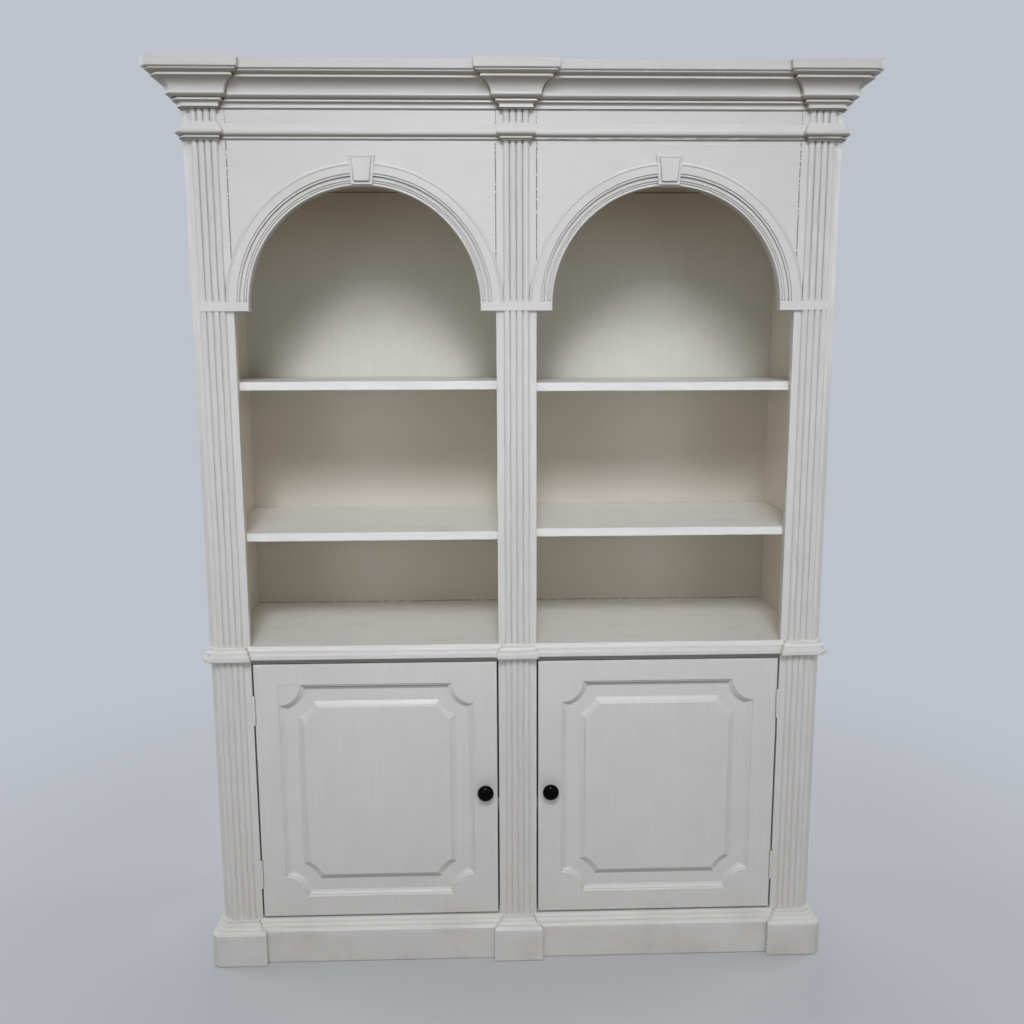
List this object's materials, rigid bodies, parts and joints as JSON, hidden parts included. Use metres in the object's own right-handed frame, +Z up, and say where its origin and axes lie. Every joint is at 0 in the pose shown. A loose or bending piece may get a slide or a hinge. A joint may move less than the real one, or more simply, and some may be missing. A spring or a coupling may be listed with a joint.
{
  "type": "bookcase cabinet",
  "caption": "Painted bookcase with arched open bays and loose shelves over cupboards with panelled doors, between reeded pilasters under a stepped cornice.",
  "frame": {"origin": "on the floor, under the middle of the box of the whole", "axes": "+Z up, the front faces -Y, +X to the right as seen from the front"},
  "size_m": [1.526, 0.483, 2.032],
  "materials": {
    "painted_wood": "brush-painted warm white, satin, with brush marks, filled joints and grime",
    "black_knob": "polished black",
    "painted_hinge": "steel painted over with the frame, worn at the tips",
    "screw_steel": "plain steel",
    "catch_plastic": "matt moulded housing with a magnet",
    "shelf_pin_brass": "dull brass"
  },
  "bodies": {
    "case": {"left_side": "painted_wood", "right_side": "painted_wood", "upper_divider": "painted_wood", "lower_divider": "painted_wood", "back_panel": "painted_wood", "top_board": "painted_wood", "ceiling_panel": "painted_wood", "deck": "painted_wood", "bottom_panel": "painted_wood", "ceiling_cleats": "painted_wood", "left_stile": "painted_wood", "centre_stile": "painted_wood", "right_stile": "painted_wood", "waist_rails": "painted_wood", "bottom_rails": "painted_wood", "left_arch_panel": "painted_wood", "right_arch_panel": "painted_wood", "frieze_boards": "painted_wood", "left_archivolt": "painted_wood", "right_archivolt": "painted_wood", "keystones": "painted_wood", "imposts": "painted_wood", "left_reeds": "painted_wood", "centre_reeds": "painted_wood", "right_reeds": "painted_wood", "cornice_runs": "painted_wood", "cornice_left_corner": "painted_wood", "cornice_centre_block": "painted_wood", "cornice_right_corner": "painted_wood", "astragal_runs": "painted_wood", "astragal_blocks": "painted_wood", "waist_moulding_runs": "painted_wood", "waist_moulding_blocks": "painted_wood", "base_cap_runs": "painted_wood", "base_cap_blocks": "painted_wood", "plinth_runs": "painted_wood", "plinth_blocks": "painted_wood", "door_catches": "catch_plastic", "shelf_pins": "shelf_pin_brass", "hinge_frame_screws": "screw_steel", "left_hinge_frame_leaves": "painted_hinge", "left_hinge_pins": "painted_hinge", "right_hinge_frame_leaves": "painted_hinge", "right_hinge_pins": "painted_hinge"},
    "left_door": {"left_door": "painted_wood", "left_knob": "black_knob", "left_knob_screw": "screw_steel", "left_strike": "screw_steel", "left_hinge_door_leaves": "painted_hinge", "left_hinge_door_screws": "screw_steel"},
    "left_lower_shelf": {"left_lower_shelf": "painted_wood"},
    "left_upper_shelf": {"left_upper_shelf": "painted_wood"},
    "right_door": {"right_door": "painted_wood", "right_knob": "black_knob", "right_knob_screw": "screw_steel", "right_strike": "screw_steel", "right_hinge_door_leaves": "painted_hinge", "right_hinge_door_screws": "screw_steel"},
    "right_lower_shelf": {"right_lower_shelf": "painted_wood"},
    "right_upper_shelf": {"right_upper_shelf": "painted_wood"}
  },
  "joints": [
    {"name": "left_door_hinge", "type": "hinge", "parent": "case", "child": "left_door", "pos_m": [-0.6102, -0.171, 0.42025], "axis": [0, 0, -1], "range_deg": [0, 160]},
    {"name": "right_door_hinge", "type": "hinge", "parent": "case", "child": "right_door", "pos_m": [0.6102, -0.171, 0.42025], "axis": [0, 0, 1], "range_deg": [0, 160]},
    {"name": "left_lower_shelf_lift", "type": "slide", "parent": "case", "child": "left_lower_shelf", "axis": [0, 0, 1], "range_m": [0, 0.06]},
    {"name": "left_upper_shelf_lift", "type": "slide", "parent": "case", "child": "left_upper_shelf", "axis": [0, 0, 1], "range_m": [0, 0.06]},
    {"name": "right_lower_shelf_lift", "type": "slide", "parent": "case", "child": "right_lower_shelf", "axis": [0, 0, 1], "range_m": [0, 0.06]},
    {"name": "right_upper_shelf_lift", "type": "slide", "parent": "case", "child": "right_upper_shelf", "axis": [0, 0, 1], "range_m": [0, 0.06]}
  ]
}
